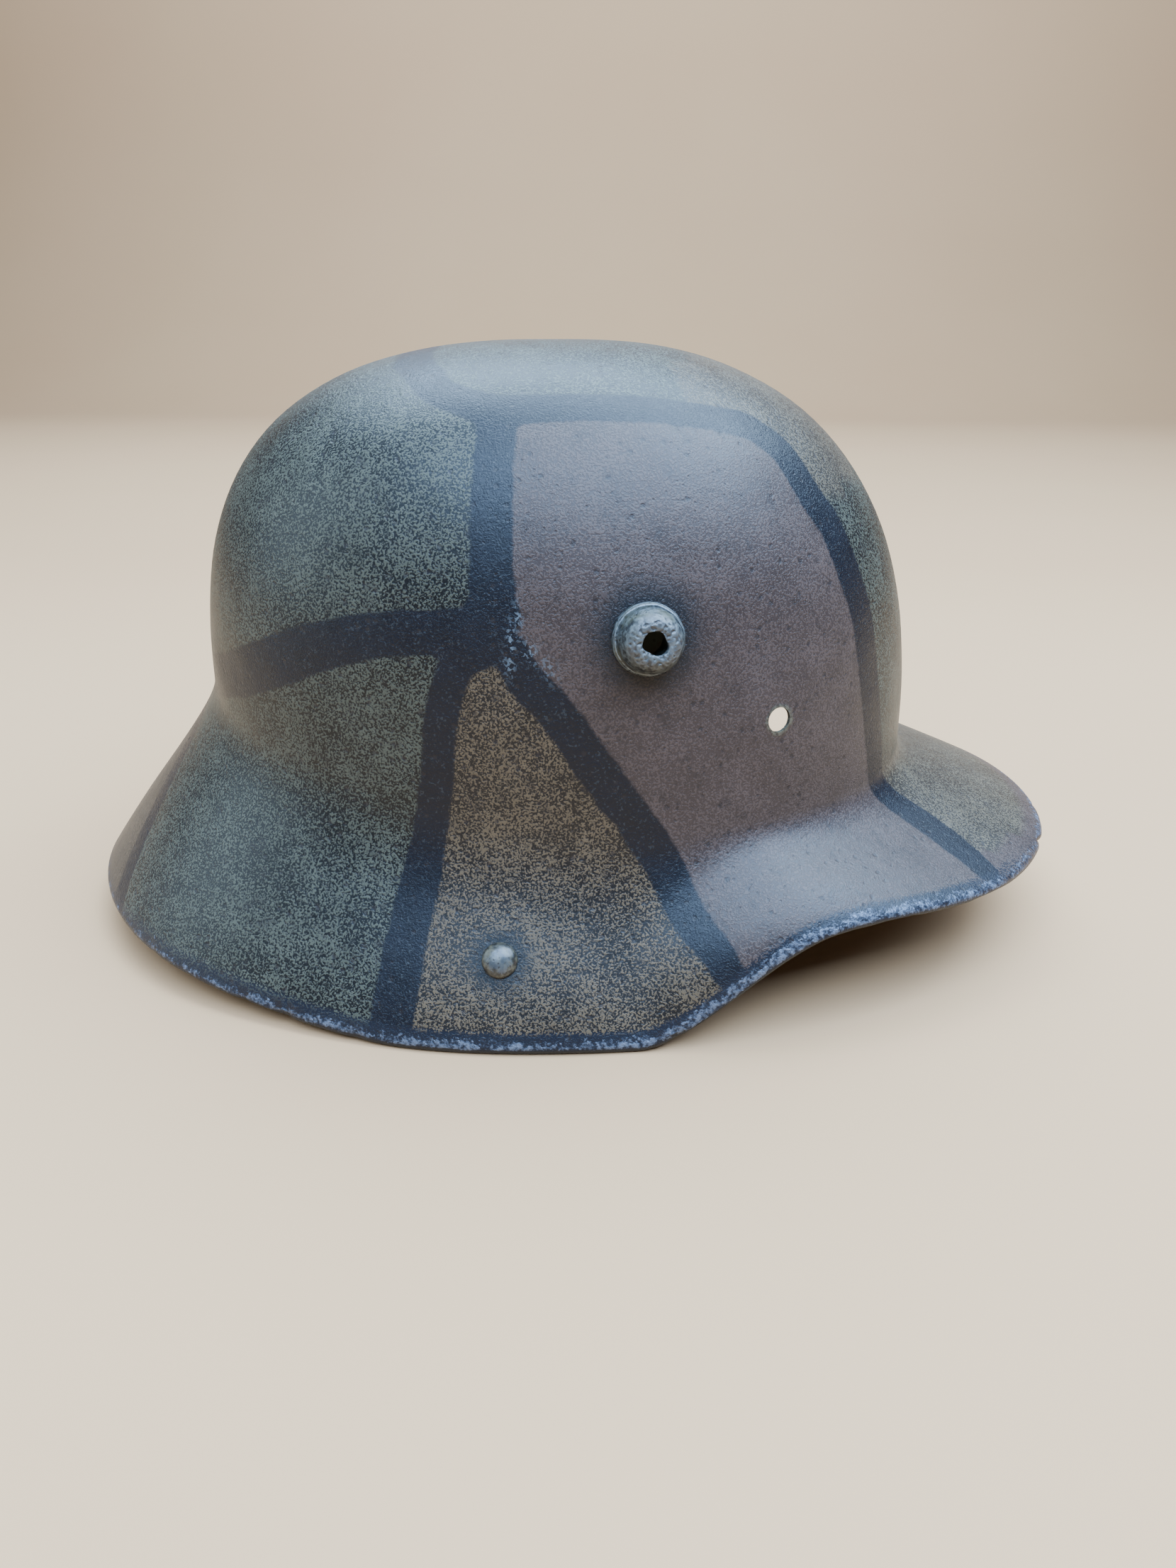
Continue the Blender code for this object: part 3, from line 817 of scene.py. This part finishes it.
def within(points, outline):
    """Even-odd rule: a point is inside where an odd number of the outline's edges passes it."""
    corners = np.array(outline, float)
    across = bearing(at_height(corners[:, 0], corners[:, 1] * MM))
    across = np.where(np.abs(corners[:, 0]) == 180, corners[:, 0] * 1.01, across)
    height = corners[:, 1] * MM
    b, z = bearing(points)[:, None], points[:, 2][:, None]
    b1, z1, b2, z2 = across, height, np.roll(across, -1), np.roll(height, -1)
    rising = np.where(z2 == z1, 1e-12, z2 - z1)
    crosses = ((z1 > z) != (z2 > z)) & (b < b1 + (z - z1) / rising * (b2 - b1))
    return crosses.sum(1) % 2 == 1


patch_light = np.tile(PAINTS["green"][0], (len(points), 1))
patch_dark = np.tile(PAINTS["green"][1], (len(points), 1))
for paint, outline in PATCHES:
    chosen = within(points, outline)
    patch_light[chosen], patch_dark[chosen] = PAINTS[paint]
    print(paint, int(chosen.sum()), "points")

# %% [markdown]
# A dark ring lies round the lugs and rivets, the bead's underside gets painted shade and grime, the
# rolled edge is rubbed bare, and round the place where the lines meet some pale paint shows through.

# %% Grime, painted shade, wear and flakes
def bell(distance, radius):
    """One in the middle, fading to nothing like a bell curve."""
    return np.exp(-(distance / radius) ** 2)


centres = fittings()
# A dark ring round each lug and rivet.
grime_and_shade = sum(bell(np.maximum(np.linalg.norm(points - c, axis=1) - r, 0), w)
           for c, r, w in ((centres[0], 0.0098, 0.0050), (centres[1], 0.0098, 0.0050),
                           (centres[2], 0.0052, 0.0034), (centres[3], 0.0052, 0.0034)))
rim_angles = np.linspace(-180, 180, 1440, endpoint=False)
bead, _, _ = rim_frame(rim_angles)
to_bead, number = nearest(points, centred(bead))
WEAR_ANGLES = (-180, -150, -125, -100, -75, -45, -20, 0, 20, 60, 100, 140, 180)
WEAR_AMOUNTS = (0.45, 0.6, 0.8, 0.9, 1.0, 0.75, 0.6, 0.75, 0.6, 0.8, 0.9, 0.7, 0.45)
rim_wear = 0.92 * bell(np.maximum(to_bead - 0.0021, 0), 0.0012)
rim_wear *= np.interp(rim_angles[number], WEAR_ANGLES, WEAR_AMOUNTS)
# Painted shade and grime under the rolled edge: where the bead faces the floor it is darkened, and kept
# from wear.
under = np.clip((centred(bead)[number, 2] + 0.0002 - points[:, 2]) / 0.0010, 0, 1)
rim_wear *= 1 - 0.8 * under
grime_and_shade = grime_and_shade + under * bell(np.maximum(to_bead - 0.0022, 0), 0.0008)
BAND_AMOUNTS = (0.7, 0.8, 0.95, 1.0, 1.0, 0.9, 0.35, 0.3, 0.35, 0.9, 1.0, 0.9, 0.7)
band = bell(np.maximum(to_bead - 0.0030, 0), 0.0014) * np.interp(rim_angles[number], WEAR_ANGLES,
                                                                 BAND_AMOUNTS)
TRAILS = (((-92, 116, 1), (-92.8, 109, 1), (-93.2, 100, 1)), ((-91.4, 105, 1), (-89, 99.5, 1)))
flakes = bell(np.min([nearest(points, laid(trail)[0])[0] for trail in TRAILS], axis=0), 0.0012)


def store(made, name, values):
    """Keeps one number or one colour for each vertex on the mesh."""
    kind = "FLOAT" if values.ndim == 1 else "FLOAT_COLOR"
    layer = made.data.attributes.new(name, kind, "POINT")
    layer.data.foreach_set("value" if values.ndim == 1 else "color",
                           np.ascontiguousarray(values, np.float32).ravel())


for name, values in (("stripe", stripe), ("patch_light", patch_light), ("patch_dark", patch_dark),
                     ("grime_and_shade", np.clip(grime_and_shade, 0, 1)), ("rub", np.clip(rim_wear, 0, 1)),
                     ("flakes", flakes), ("band", band)):
    store(shell, name, values)
print("attributes", [a.name for a in shell.data.attributes if a.domain == "POINT"])

# %% [markdown]
# The paint itself: stippled patches, the lines over them, then grime, painted shade and wear. It
# is satin. Old brushed enamel also carries fine bumps.

# %% Camouflage paint
g, shader = dress(outer_coat)
place = g.place()
light, dark = g.attribute("patch_light", 0), g.attribute("patch_dark", 0)
thin = g.smooth(g.noise(place, 0.016, detail=4.0, roughness=0.6), 0.34, 0.68)
share = g.scaled(thin, 0.18, 0.36)
specks = g.group(speckle, {"Vector": place, "Size": 0.00058, "Share": share, "Softness": 0.07})
ground = g.mix(specks, dark, light)
tone = g.noise(place, 0.012, detail=4.0, roughness=0.6)
ground = g.mix(0.55, ground, g.mix(tone, srgb(70, 70, 70), srgb(186, 186, 186)), blend="OVERLAY")
stain = g.smooth(g.noise(place, 0.0045, detail=5.0, roughness=0.7), 0.53, 0.68)
ground = g.over(ground, stain, 0.45, srgb(26, 22, 23))

line_mask = g.group(brush_edge, {"Vector": place, "Distance": g.attribute("stripe"),
                                 "Ragged": 0.5, "Softness": 0.55})
pale_specks = g.group(speckle, {"Vector": place, "Size": 0.0008, "Share": 0.12, "Softness": 0.04})
line_colour = g.mix(g.noise(place, 0.006, detail=3.0), srgb(5, 7, 14), srgb(9, 12, 23))
line_colour = g.over(line_colour, pale_specks, 0.30, srgb(62, 66, 68))
colour = g.mix(line_mask, ground, line_colour)
ragged_band = g.plus(g.attribute("band"), g.scaled(specks, -0.25, 0.05))
colour = g.mix(g.smooth(ragged_band, 0.25, 0.75), colour, srgb(16, 20, 30))

chips = g.group(speckle, {"Vector": place, "Size": 0.0010, "Share": 0.34, "Softness": 0.03})
colour = g.mix(g.times(chips, g.times(g.attribute("flakes"), 0.7)), colour,
               srgb(98, 108, 116))
# Grime and painted shade: a dark ring round each fitting, and painted shade with grime under the rolled
# edge.
grime_and_shade_share = g.times(g.attribute("grime_and_shade"), g.scaled(specks, -0.15, 0.95))
colour = g.mix(grime_and_shade_share, colour, srgb(20, 22, 26))
rust = g.group(pits, {"Vector": place, "Size": 0.0028, "Share": 0.26})
small = g.group(pits, {"Vector": place, "Size": 0.0015, "Share": 0.22})
rust = g.math("MAXIMUM", rust, g.times(small, 0.8))
colour = g.over(colour, rust, 0.7, srgb(28, 24, 26))
bare = g.group(wear, {"Vector": place, "Amount": g.attribute("rub"), "Size": 0.004})
grain = g.smooth(g.noise(place, 0.0013, detail=3.0, roughness=0.6), 0.34, 0.68)
bare_colour = g.mix(grain, srgb(30, 34, 44), srgb(104, 112, 128))
colour = g.over(colour, bare, 0.85, bare_colour)

lip = 0.0
for middle in centres[4:]:
    away = g.add("ShaderNodeVectorMath", {0: place, 1: tuple(middle.tolist())}, out=1,
                 operation="DISTANCE")
    away = g.scaled(g.noise(place, 0.002), 0.0016, away)
    lip = g.math("MAXIMUM", lip, g.minus(1.0, g.smooth(away, 0.0044, 0.0056)))
colour = g.over(colour, lip, 0.7, g.mix(grain, srgb(38, 36, 30), srgb(92, 88, 72)))

rough = g.scaled(specks, 0.04, g.scaled(tone, 0.16, 0.31))
height = g.total((specks, 0.45), (rust, -0.8), (g.noise(place, 0.0005), 0.4),
                 (g.noise(place, 0.004, detail=3.0), 1.4), (g.times(bare, grain), 1.2), (lip, 1.5))
bump = g.add("ShaderNodeBump", {"Height": height, "Strength": 0.9, "Distance": 0.00010})
connect(g, shader, Base_Color=colour, Roughness=rough, Normal=bump,
        Metallic=g.times(bare, 0.35), Specular_IOR_Level=0.30)
print("paint nodes", len(outer_coat.node_tree.nodes))

# %% [markdown]
# The inside kept its factory coat: one flat field grey-green, dull, with brown stains. The liner
# took the wear here, so there is little bare metal.

# %% Inside coat
g, shader = dress(inner_coat)
place = g.place()
stain = g.smooth(g.noise(place, 0.018, detail=5.0, roughness=0.65), 0.48, 0.66)
colour = g.mix(stain, srgb(74, 80, 70), srgb(66, 52, 42))
rust = g.group(pits, {"Vector": place, "Size": 0.003, "Share": 0.4})
colour = g.over(colour, rust, 0.7, srgb(40, 30, 25))
bump = g.add("ShaderNodeBump", {"Height": rust, "Strength": -0.6, "Distance": 0.00008})
connect(g, shader, Base_Color=colour, Roughness=0.62, Normal=bump)
sides = np.empty(len(shell.data.polygons), np.int32)
shell.data.polygons.foreach_get("material_index", sides)
print("faces outside and inside", np.bincount(sides))

# %% [markdown]
# ## Lugs
#
# A vent lug is turned from bar: a flange on the skull, a groove, a collar, a cone and a flat face
# with a hole bored right through. It was first meant to carry a heavy brow plate. Its profile is
# turned about the face's normal, the underside follows the curve of the steel, and years of knocks
# and rust have pitted the face and made the vent's mouth ragged.

# %% Turned pieces
def rounded(corners, arc=5):
    """A closed profile with each corner turned into a quadratic curve of its own radius. Also gives
    how much each point belongs to a corner, which is where the paint rubs off first; a negative
    amount marks painted shade in a groove instead."""
    corners = np.array(corners, float)
    points, edge = [], []
    for k in range(len(corners)):
        here, radius = corners[k, :2], corners[k, 2]
        before, after = corners[k - 1, :2], corners[(k + 1) % len(corners), :2]
        for_in = unit(before - here) * min(radius, np.linalg.norm(before - here) * 0.45)
        for_out = unit(after - here) * min(radius, np.linalg.norm(after - here) * 0.45)
        t = np.linspace(0, 1, arc)[:, None]
        ends = (1 - t) ** 2 * (here + for_in) + t ** 2 * (here + for_out)
        points.append(ends + 2 * t * (1 - t) * here)
        edge.append(np.sin(np.pi * t[:, 0]) * corners[k, 3])
    return np.concatenate(points), np.concatenate(edge)


def fill(profile, edge, step):
    """Adds points on the profile's straight runs so that none is longer than a step."""
    turned = [np.zeros((0, 2))]
    amounts = []
    for k in range(len(profile)):
        a, b = profile[k], profile[(k + 1) % len(profile)]
        count = max(1, int(np.ceil(np.linalg.norm(b - a) / step)))
        t = np.arange(count)[:, None] / count
        turned.append(a + (b - a) * t)
        amounts.append(edge[k] + (edge[(k + 1) % len(edge)] - edge[k]) * t[:, 0])
    return np.concatenate(turned), np.concatenate(amounts)


def seat_curve(angle, depth):
    """How the steel falls away round a spot, as a second-degree surface fitted to the face."""
    place = spot(angle, depth)
    a, d = np.meshgrid(np.linspace(-5, 5, 9), np.linspace(-0.07, 0.07, 9))
    local = (skin(angle + a, depth + d).reshape(-1, 3) - place[:3, 3]) @ place[:3, :3]
    x, y, z = local.T
    return np.linalg.lstsq(np.stack([x * x, x * y, y * y], -1), z, rcond=None)[0]


def turned(profile, sides):
    """Each profile point turned about Z: radius times cosine, radius times sine, height."""
    turn = np.linspace(0, 2 * np.pi, sides, endpoint=False)
    radius, height = profile[:, :1], profile[:, 1:]
    return np.stack([radius * np.cos(turn), radius * np.sin(turn), height + 0 * turn], -1)


def settle(points, bend, free_height):
    """Bends the underside to the steel; from the free height up nothing moves."""
    x, y, z = points[..., 0], points[..., 1], points[..., 2]
    fall = bend[0] * x * x + bend[1] * x * y + bend[2] * y * y
    follow = np.clip(1 - z / free_height, 0, 1)
    out = points.copy()
    out[..., 2] = z + fall * follow
    return out


def fitted(name, points, faces, angle, depth, material):
    """Sets a turned piece on its spot and keeps the edges sharp where it turns by over 60 degrees."""
    place = spot(angle, depth)
    made = mesh_object(name, points @ place[:3, :3].T + place[:3, 3], faces, material)
    made.data.set_sharp_from_angle(angle=np.radians(60))
    return made


# %% Lug
LUG_PROFILE = (  # radius, height, rounding in metres, wear at the corner (below 0: painted shade in the groove)
    (0.0030, 0.0110, 0.0006, 0.3), (0.0050, 0.0112, 0.0012, 0.2), (0.0069, 0.0097, 0.0016, 0.3),
    (0.0083, 0.0062, 0.0011, 0.6), (0.0083, 0.0036, 0.0003, 0.8), (0.0077, 0.0033, 0.0002, -1.0),
    (0.0077, 0.0027, 0.0002, -1.0), (0.0089, 0.0026, 0.0003, 0.9), (0.0094, 0.0020, 0.0005, 1.0),
    (0.0094, 0.00025, 0.0002, 0.2), (0.0061, 0.00025, 0.0002, 0.0), (0.0061, -0.0015, 0.0002, 0.0),
    (0.0076, -0.0015, 0.0003, 0.3), (0.0074, -0.0024, 0.0004, 0.6), (0.0043, -0.0025, 0.0003, 0.4),
    (0.0042, 0.0088, 0.0004, 0.0), (0.0031, 0.0094, 0.0003, 0.0),
)


def make_lug(name, angle, depth, seed, material):
    """The turned profile, its face pitted and its vent's mouth made ragged by smooth noise."""
    profile, edge = rounded(LUG_PROFILE)
    profile, edge = fill(profile, edge, 0.00045)
    rings, sides = len(profile), 144
    points = turned(profile, sides)
    # Corner wear; its negative amounts, at the groove, are painted shade.
    rub = np.repeat(edge[:, None], sides, 1)
    x, y, z = points[..., 0], points[..., 1], points[..., 2]
    radius = np.hypot(x, y)
    turn = np.arctan2(y, x)
    mouth = np.clip((z - 0.0080) / 0.0025, 0, 1) * np.clip(1 - (radius - 0.0030) / 0.0016, 0, 1)
    ragged = 0.00026 * np.cos(2 * turn + seed) + 0.00020 * np.cos(3 * turn + 2.1 * seed)
    ragged = ragged + 0.00010 * np.cos(5 * turn + 1.3 * seed)
    points = points * (1 + (ragged * mouth / np.maximum(radius, 1e-6)))[..., None] ** [1, 1, 0]
    face = np.clip((z - 0.0085) / 0.002, 0, 1)
    hollow = np.clip(waves(points, 0.0014, 20 + seed, 60) - 0.10, 0, 1)
    lumps = waves(points, 0.0011, 30 + seed, 60)
    points[..., 2] -= face * (0.00036 * hollow + 0.00008 * (1 + lumps)) * (radius > 0.0030)
    body = np.clip(z / 0.001, 0, 1) * (radius > 0.0055)
    points = points * (1 - body * 0.008 * (1 + waves(points, 0.0035, 40 + seed)))[..., None] ** [1, 1, 0]
    points = settle(points, seat_curve(angle, depth), 0.0022)
    made = fitted(name, points, [grid_faces(rings, sides, row_wrap=True)], angle, depth, material)
    store(made, "rub", rub.ravel())
    store(made, "hollow", (face * hollow).ravel())
    store(made, "front", face.ravel())
    print(name, rings * sides, "points")
    return made


# %% [markdown]
# The lug's finish: the same grey-green, worn to dull steel at its corners, with dark rust in the
# hollows of the face, painted shade in the groove and an olive bloom low on the cone.

# %% Lug finish
lug_steel, g, shader = new_material("worn_lug_steel")
place = g.place()
mottle = g.noise(place, 0.0017, detail=4.0, roughness=0.65)
colour = g.mix(g.smooth(mottle, 0.40, 0.62), srgb(22, 25, 27), srgb(72, 77, 77))
bloom = g.smooth(g.noise(place, 0.006), 0.5, 0.7)
colour = g.over(colour, bloom, 0.6, srgb(62, 60, 42))
colour = g.over(colour, g.attribute("front"), 0.26, srgb(112, 114, 116))
rubbed = g.group(wear, {"Vector": place, "Amount": g.attribute("rub"), "Size": 0.002})
colour = g.over(colour, rubbed, 0.6, srgb(118, 126, 132))
rust = g.group(pits, {"Vector": place, "Size": 0.0012, "Share": 0.35})
colour = g.over(colour, rust, 0.7, srgb(26, 22, 23))
sunk = g.smooth(g.attribute("hollow"), 0.15, 0.55)
colour = g.over(colour, sunk, 0.55, srgb(24, 21, 24))
# Painted shade: the groove between flange and collar is coloured near-black.
groove_shade = g.smooth(g.times(g.attribute("rub"), -1.0), 0.2, 0.8)
colour = g.mix(groove_shade, colour, srgb(10, 10, 12))
height = g.total((mottle, 1.0), (rust, -0.7))
bump = g.add("ShaderNodeBump", {"Height": height, "Strength": 0.9, "Distance": 0.00012})
connect(g, shader, Base_Color=colour, Roughness=g.scaled(mottle, 0.2, 0.36),
        Metallic=g.scaled(rubbed, 0.4, 0.1), Normal=bump)

lug_right = make_lug("lug_right", -LUG_SPOT[0], LUG_SPOT[1], 1, lug_steel)
lug_left = make_lug("lug_left", LUG_SPOT[0], LUG_SPOT[1], 2, lug_steel)

# %% [markdown]
# ## Rivets
#
# The rivet held the bail of the chin strap. Its head is a shallow dome set from outside; inside, a
# flat closing head was hammered on the shank. The dome was painted with the rest and has rubbed
# bright on top.

# %% Rivet
def make_rivet(name, angle, depth, seed, material):
    """A dome turned from a quarter ellipse, then a shank and a flat inner head."""
    t = np.linspace(0, np.pi / 2, 22)
    dome = np.stack([0.0048 * np.sin(t), 0.0003 + 0.0024 * np.cos(t)], -1)[1:]
    rest = np.array([(0.0047, 0.0002), (0.0030, 0.0002), (0.0021, 0.0002), (0.0021, -0.0014),
                     (0.0036, -0.0014), (0.0038, -0.0018), (0.0035, -0.0024), (0.0018, -0.0025)])
    profile = np.concatenate([dome, rest])
    rings, sides = len(profile), 72
    points = turned(profile, sides)
    flat = waves(points, 0.0042, 50 + seed)
    points[..., 2] -= np.clip(points[..., 2] / 0.001, 0, 1) * 0.00004 * (1 + flat)
    points = settle(points, seat_curve(angle, depth), 0.0008)
    poles = np.array([[0, 0, points[0, :, 2].mean() + 0.00001], [0, 0, -0.0025]])
    k = np.arange(sides)
    last = (rings - 1) * sides
    fans = [np.stack([k, (k + 1) % sides, np.full(sides, rings * sides)], -1)[:, [2, 0, 1]],
            np.stack([last + (k + 1) % sides, last + k, np.full(sides, rings * sides + 1)], -1)]
    local = np.concatenate([points.reshape(-1, 3), poles])
    made = fitted(name, local, [grid_faces(rings, sides)] + fans, angle, depth, material)
    top = np.clip((local[:, 2] - 0.0012) / 0.0014, 0, 1)
    store(made, "rub", top)
    print(name, len(local), "points")
    return made


rivet_paint, g, shader = new_material("painted_rivet")
place = g.place()
mottle = g.noise(place, 0.0016, detail=4.0, roughness=0.6)
colour = g.mix(g.smooth(mottle, 0.36, 0.64), srgb(30, 28, 25), srgb(76, 70, 56))
rubbed = g.group(wear, {"Vector": place, "Amount": g.attribute("rub"), "Size": 0.002})
colour = g.over(colour, rubbed, 0.3, srgb(112, 118, 124))
rust = g.group(pits, {"Vector": place, "Size": 0.0014, "Share": 0.2})
colour = g.over(colour, rust, 0.75, srgb(40, 29, 26))
height = g.total((mottle, 1.0), (rust, -0.8))
bump = g.add("ShaderNodeBump", {"Height": height, "Strength": 0.5, "Distance": 0.00006})
connect(g, shader, Base_Color=colour, Roughness=g.scaled(mottle, 0.2, 0.22),
        Metallic=g.times(rubbed, 0.4), Normal=bump)
rivet_right = make_rivet("rivet_right", -RIVET_SPOT[0], RIVET_SPOT[1], 1, rivet_paint)
rivet_left = make_rivet("rivet_left", RIVET_SPOT[0], RIVET_SPOT[1], 2, rivet_paint)

# %% Riding on the root, with the imported parts hidden
for piece, node, slot in ((shell, "shell", "camouflage_paint"),
                          (lug_right, "vent_lug_right", "worn_lug_steel"),
                          (lug_left, "vent_lug_left", "worn_lug_steel"),
                          (rivet_right, "strap_rivet_right", "painted_rivet"),
                          (rivet_left, "strap_rivet_left", "painted_rivet")):
    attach(piece, "root")
    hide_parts(node)
